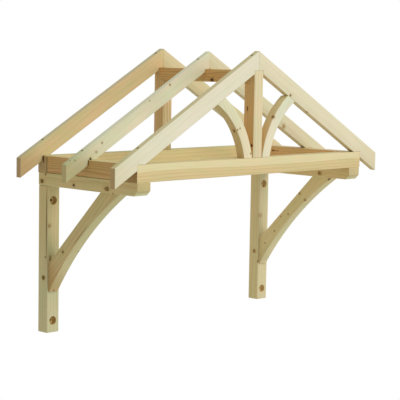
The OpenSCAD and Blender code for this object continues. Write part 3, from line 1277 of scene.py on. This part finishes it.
@dataclass
class RafterScrews:
    """Countersunk screws down through the rafters, one over each seat and one beside each apex."""

    pairs: tuple[RafterPair, ...]
    radius: float = 0.0050
    thickness: float = 0.003
    stand: float = 0.0015
    rim: float = 0.0009
    dish_slope: float = 0.0004
    dish_depth: float = 0.0005
    cross_half: float = 0.0026
    cross_half_w: float = 0.0005
    cross_depth: float = 0.0022

    def build_head(self) -> Piece:
        """Turns one screw head, dished and crossed, at the origin with its top face at Z = 0.

        Returns:
            The head.
        """
        head = Bench.rod("screw_head", (0, 0, -self.thickness), (0, 0, 0), self.radius, SCREW_SIDES,
                         ZincSteel().material())
        Bench.face_on(head, Z_AXIS)
        bpy.ops.mesh.inset(thickness=self.rim, depth=0.0)
        bpy.ops.mesh.inset(thickness=self.dish_slope, depth=-self.dish_depth)
        bpy.ops.object.mode_set(mode="OBJECT")
        for x, y in ((self.cross_half, self.cross_half_w), (self.cross_half_w, self.cross_half)):
            Bench.cut(head, Bench.block("drive", (-x, -y, -self.cross_depth), (x, y, PAST)))
        return head

    def build(self) -> None:
        """Copies the head onto every rafter."""
        s = SIZES
        head = self.build_head()
        for pair in self.pairs:
            for side in Side:
                for spot, x in SCREWS[pair.bay].items():
                    sunk = s.roof_out(side) * (pair.sink - self.stand)
                    screw = Bench.copy(head, f"{side.hand}_{pair.bay.value}_{spot}_screw",
                                       tilt=side.value * s.pitch, move=pair.top(side, x) - sunk)
                    seat(screw, "rafter_timber")
        Bench.drop(head)


@dataclass(frozen=True)
class Lamp:
    """A broad, distant lamp at the front right.

    Attributes:
        name: the lamp's name.
        energy: its strength.
        height: its angle above the horizon.
        turn: its angle round from the front.
        spread: its breadth as an angle.
    """

    name: str
    energy: float
    height: float
    turn: float = math.radians(25)
    spread: float = math.radians(30)

    def hang(self) -> None:
        """Puts the lamp in the scene."""
        lamp = bpy.data.lights.new(self.name, "SUN")
        lamp.energy = self.energy
        lamp.angle = self.spread
        hung = bpy.data.objects.new(self.name, lamp)
        hung.rotation_euler = (math.radians(90) - self.height, 0, self.turn)
        bpy.context.scene.collection.objects.link(hung)


@dataclass
class Studio:
    """Camera, lamps, white surround and pale floor."""

    eye: Point = (-4.6882, -4.9369, 0.5103)
    yaw: float = math.radians(45.208)
    dip: float = math.radians(5.952)
    roll: float = math.radians(0.988)
    focal_px: float = 1460.15
    picture_px: float = 400
    sensor_mm: float = 36.0
    far_end: float = 60.0
    lamps: tuple[Lamp, ...] = (Lamp("key", 1.51, math.radians(40)), Lamp("fill", 0.59, 0.0))
    surround: float = 0.50
    floor_r: float = 2.0
    floor_sides: int = 96
    floor_mid: Point = (0, -0.3, -2.25)

    def build_camera(self) -> None:
        """Sets the camera where the photograph was taken from."""
        level = math.cos(self.dip)
        ahead = Vector((math.sin(self.yaw) * level, math.cos(self.yaw) * level, -math.sin(self.dip)))
        right = Vector((math.cos(self.yaw), -math.sin(self.yaw), 0))
        up = right.cross(ahead)
        across = right * math.cos(self.roll) + up * math.sin(self.roll)
        above = up * math.cos(self.roll) - right * math.sin(self.roll)
        turn = Matrix((across, above, -ahead)).transposed().to_4x4()
        lens = bpy.data.cameras.new("camera")
        lens.sensor_width = self.sensor_mm
        lens.lens = self.sensor_mm * self.focal_px / self.picture_px
        lens.clip_end = self.far_end
        camera = bpy.data.objects.new("camera", lens)
        camera.matrix_world = Matrix.Translation(self.eye) @ turn
        bpy.context.scene.collection.objects.link(camera)
        bpy.context.scene.camera = camera

    def build_light(self) -> None:
        """Hangs the lamps in an even surround, which is plain white where it is seen."""
        for lamp in self.lamps:
            lamp.hang()
        world = bpy.data.worlds.new("surround")
        bpy.context.scene.world = world
        world.use_nodes = True
        tree = world.node_tree
        tree.nodes.clear()
        path = add(tree, "ShaderNodeLightPath")
        seen = path.outputs["Is Camera Ray"]
        for ray in ("Is Glossy Ray", "Is Transmission Ray"):
            either = add(tree, "ShaderNodeMath", {"operation": "MAXIMUM"}, {0: seen, 1: path.outputs[ray]})
            seen = either.outputs[0]
        strength = add(tree, "ShaderNodeMapRange", {}, {"Value": seen, "To Min": self.surround, "To Max": 1})
        glow = add(tree, "ShaderNodeBackground", {}, {"Color": (1, 1, 1, 1), "Strength": strength.outputs[0]})
        add(tree, "ShaderNodeOutputWorld", {}, {"Surface": glow.outputs[0]})

    def build_floor(self) -> None:
        """Lays a pale round floor at ground level, well below the posts."""
        bpy.ops.object.select_all(action="DESELECT")
        bpy.ops.mesh.primitive_circle_add(vertices=self.floor_sides, radius=self.floor_r, fill_type="NGON",
                                          location=self.floor_mid)
        floor = bpy.context.active_object
        floor.name = "floor"
        floor.data.materials.append(PalePaper().material())

    def build(self) -> None:
        """Builds the whole studio."""
        self.build_camera()
        self.build_light()
        self.build_floor()
        bpy.context.scene.view_settings.view_transform = "Standard"


# Distance of each pair's screws from the middle of the canopy.
SCREWS: dict[Bay, dict[str, float]] = {
    Bay.FRONT: {"seat": 0.698, "apex": 0.033},
    Bay.MIDDLE: {"seat": 0.735, "apex": 0.061},
    Bay.BACK: {"seat": 0.701, "apex": 0.036},
}
# Tone and flecks of the counterbores, and of the low and high bolt holes inside them. These hold painted
# light and
# shade: the right-hand counterbores and the left low hole are paler against the shade inside them, and the
# left high hole is near black for the shade deep in it.
BORES: dict[Side, tuple[str, str]] = {Side.LEFT: ("#d6b97c", "#b3955c"), Side.RIGHT: ("#e2cc98", "#cfb47a")}
BOLT_HOLES: dict[Side, tuple[tuple[str, str], tuple[str, str]]] = {
    Side.LEFT: (("#ead6a2", "#d4be86"), ("#4a2c08", "#2e1a04")),
    Side.RIGHT: (("#d2b880", "#bc9f68"), ("#d2b880", "#bc9f68")),
}
# Tone of each peg's sides and of its ends.
PEGS: dict[str, tuple[str, str]] = {
    "left_post": ("#94803a", "#8c7836"),
    "left_arm": ("#a89046", "#a08840"),
    "left_foot": ("#94803a", "#8c7836"),
    "right_post": ("#f0d094", "#ecca8c"),
    "right_arm": ("#c8a060", "#c49c5c"),
    "right_foot": ("#e0be7e", "#dab676"),
}
PEG_RING = 0.004
# The drifts in these boards are mostly painted shade and light along the pieces.
BOARDS: dict[str, Board] = {
    "left_post": Board(
        Softwood("#cdc39b", "#e1d19e", drift=Drift(-0.60, -0.15, near="#f8ffff", far="#fff9ea")),
        (
            Knot(-697, -59.5, -267, 6.5, "#b09460"),
            Knot(-708.5, -47, -404, 3.5),
            Knot(-708.5, -54, -265, 3, "#75653a", 52, 0),
            Knot(-708.5, -33, -496, 10, "#8f8238", 1, 0.2),
            Knot(-692, -59.5, -412, 5, "#b8945a", 3.5, 0.2),
        ),
    ),
    "left_arm": Board(
        Softwood("#eef0bf", "#e2cd91", "#c2b581", lateness=0.2, flat=Z_AXIS),
        (
            Knot(-710, -48, -43, 4, "#5a4620"),
            Knot(-710, -235, -76, 6, "#54421a", 1.2, 0.3),
            Knot(-710, -482, -92, 4, "#5a4a20", 1, 0.2),
            Knot(-710, -22, -74, 10, "#94833c", 1.1, 0.2),
            Knot(-710, -444, -75, 8.5, "#a5863f", 1.7, 0.2),
        ),
    ),
    "left_brace": Board(
        Softwood("#d4cf9f", "#ddc88c", lateness=0.2, drift=Drift(-0.21, -0.04, near="#edd7c6"),
                 end="#b08a50"),
        (
            Knot(-700, -155, -370, 6, "#8a763e"),
            Knot(-656, -205, -365, 3, "#5f4f2a"),
            # Painted shade: a dark spot on the end of the brace's toe, for the shade in the gap there.
            Knot(-677, -67.5, -551, 3.5, "#8a6a38", 1, 0.3),
            Knot(-700, -267, -288, 1.5, "#857340", 45, 0),
        ),
    ),
    "right_post": Board(
        Softwood("#d4c8a0", "#ecd79d"),
        (
            Knot(654, -59.5, -315, 7.5, "#d6ba82"),
            Knot(643, -59, -545, 4.5, "#a88a52"),
            Knot(641.5, -33, -496, 10, "#d6b67c", 1, 0.1),
        ),
    ),
    "right_arm": Board(
        Softwood("#e9e7b5", "#eed292", "#ccba8c", flat=Z_AXIS),
        (
            Knot(636.5, -452, -74, 10, "#d6b67c", 1.3, 0.1),
        ),
    ),
    "right_brace": Board(
        Softwood("#ddd3a6", "#f1db9d", end="#b49860", drift=Drift(-0.21, -0.10, near="#f3eeed"),
                 lateness=0.05),
        (
            Knot(650, -500, -103, 5, "#3a2810", 1.8),
            Knot(650, -317, -184, 5, "#ae8e5c"),
            Knot(650, -352, -213, 5.5, "#ba9a62"),
            Knot(650, -246, -291, 4, "#b89a66"),
            Knot(650, -198, -307, 3, "#b89a66"),
            Knot(650, -158, -383, 3.5, "#7a6238"),
            Knot(650, -98, -449, 3.5, "#b89a62"),
        ),
    ),
    "front_beam": Board(Softwood("#e0d3a7", "#dacc9d", "#b39764", lateness=0.05, ring=0.010,
                                 heart_r=0.100, heart_lines=0.17)),
    "back_beam": Board(
        Softwood("#e7d399", "#d2ce9c", "#c2a874"),
        (
            Knot(-712, -33, 29, 6.5, "#5f421a", 1, 0.2),
            Knot(-712, -35, 20, 6, "#694a20", 1, 0.2),
            Knot(-712, -36, 11, 5, "#785a30", 1, 0.2),
        ),
    ),
    "left_plate": Board(
        Softwood("#ddcf98", "#d8b173", lateness=0.40, flat=Z_AXIS, ring=0.006, wander=0.035),
        (
            # Painted shadow: a dark streak on the plate's back end for the shade in the gap to the back beam.
            Knot(-712, -58.5, 0, 2.4, "#3a2008", 1, 0, branch=Z_AXIS),
            # Painted shadow: two dark spots on the plate just behind the middle rafter's front face, for the
            # shade in the gap at its notch.
            Knot(-712, -328, 30, 5, "#4a3416", 1, 0),
            Knot(-712, -328, 20, 5, "#4a3416", 1, 0),
        ),
    ),
    "right_plate": Board(
        Softwood("#e2cea5", "#f3c684", lateness=0.2, flat=Z_AXIS),
        (
            Knot(652.5, -136, 14.5, 3.5, "#5a3414", 2.5),
            Knot(652.5, -160, 13.5, 1.6, "#8a5a2a", 9, 0),
        ),
    ),
    "front_king": Board(
        Softwood("#e1d4ae", "#e8bf7e", lateness=0.2),
        (
            Knot(-28, -592, 250, 3.2, "#5a3814", 3, branch=X_AXIS),
            Knot(-28, -621, 91, 6, "#4a2a10"),
        ),
    ),
    "back_king": Board(Softwood("#e5cd9b", "#e5bf82", lateness=0.4,
                                drift=Drift(0.04, 0.11, near="#d9dcc2"))),
    "ridge": Board(
        Softwood("#e1b674", "#e1b674", lateness=0.45, ring=0.01, wander=0.12),
        (
            Knot(-28, -373, 369, 6.5, "#3c2208", 1.6, branch=X_AXIS),
        ),
    ),
    "left_strut": Board(
        Softwood("#e9dcbb", "#e3c68b", drift=Drift(-0.02, 0.12, far="#f4feff")),
        (
            Knot(-45, -631, 57, 3),
            Knot(-132, -613, 157.5, 6, "#9c784a", 1.5, 0.4),
            Knot(-129.7, -631, 161.8, 3.5, "#8a6c44"),
            Knot(-114, -631, 168, 3.5, "#a2845a"),
        ),
    ),
    "right_strut": Board(
        Softwood("#e8e1c6", "#f3dda9", drift=Drift(-0.02, 0.12, far="#f6feff")),
        (
            Knot(103, -624.6, 212, 7.5, "#947648"),
        ),
    ),
    "left_front_rafter": Board(Softwood("#e3dec6", "#dcd1a3", "#c9ab7b", lateness=0.06, mottle=0.35,
                                        drift=Drift(0.70, 0.94, far="#f8f7ec"))),
    "right_front_rafter": Board(
        Softwood("#e0d7b8", "#e5d2a0", lateness=0.06, mottle=0.35, drift=Drift(0.70, 0.94, far="#f9f6f1")),
        (
            Knot(209, -631, 307, 5.5, "#8a6a40"),
            Knot(328, -625, 230, 5, "#8f6e42"),
            # Painted shade: a reddish-brown spot on the underside where the rafter sits over the beam.
            Knot(661, -618, 40, 6, "#9a5a14", 1.5, 0.3),
        ),
    ),
    "left_middle_rafter": Board(
        Softwood("#e4e0c5", "#eae7cd", "#eedbb5", lateness=0.06, mottle=0.9,
                 drift=Drift(0.70, 0.93, far="#dedcc0")),
        (
            Knot(-246, -330, 347, 5.5, "#b99e68", 1, 0.2),
            Knot(-637, -330, 106, 5, "#b2a376", 1, 0.2),
            Knot(-669, -330, 69, 5.5, "#bdb288", 1, 0.2),
            Knot(-367, -330, 280, 3.5, "#c0b184", 1, 0.2),
            Knot(-806, -322, 38, 3.5, "#807b54", 1, 0.2),
            Knot(-785, -330, 39, 3.5, "#96916c", 1, 0.2),
            Knot(-701, -330, 41, 6, "#43361c"),
        ),
    ),
    "right_middle_rafter": Board(
        Softwood("#ddd5b4", "#e2d09f", lateness=0.08),
        (
            Knot(508, -330, 146, 9, "#cba874", 1, 0.5),
            Knot(655, -321, 47, 5, "#6a4a24"),
        ),
    ),
    "left_back_rafter": Board(Softwood("#dcc595", "#d5c9a4", "#d1b68b", lateness=0.08, mottle=1.0,
                                       drift=Drift(0.80, 0.93, far="#f2eae4"))),
    "right_back_rafter": Board(Softwood("#d9caa0", "#e3d5a4", lateness=0.08)),
}
BOARDS.update({
    f"{joint}_peg": Board(Softwood(tone, tone, end, ring=PEG_RING)) for joint, (tone, end) in PEGS.items()
})


def main() -> None:
    """Builds the canopy's sub-assemblies in order, then the studio."""
    logging.basicConfig(level=logging.INFO, format="%(name)s %(message)s")
    stack = TimberStack(BOARDS)
    GallowsBrackets(stack).build()
    WallPlateFrame(stack).build()
    GableFrame(stack).build()
    pairs = tuple(RafterPair(bay, stack) for bay in Bay)
    for pair in pairs:
        pair.build()
    RafterScrews(pairs).build()
    Studio().build()


if __name__ == "__main__":
    main()
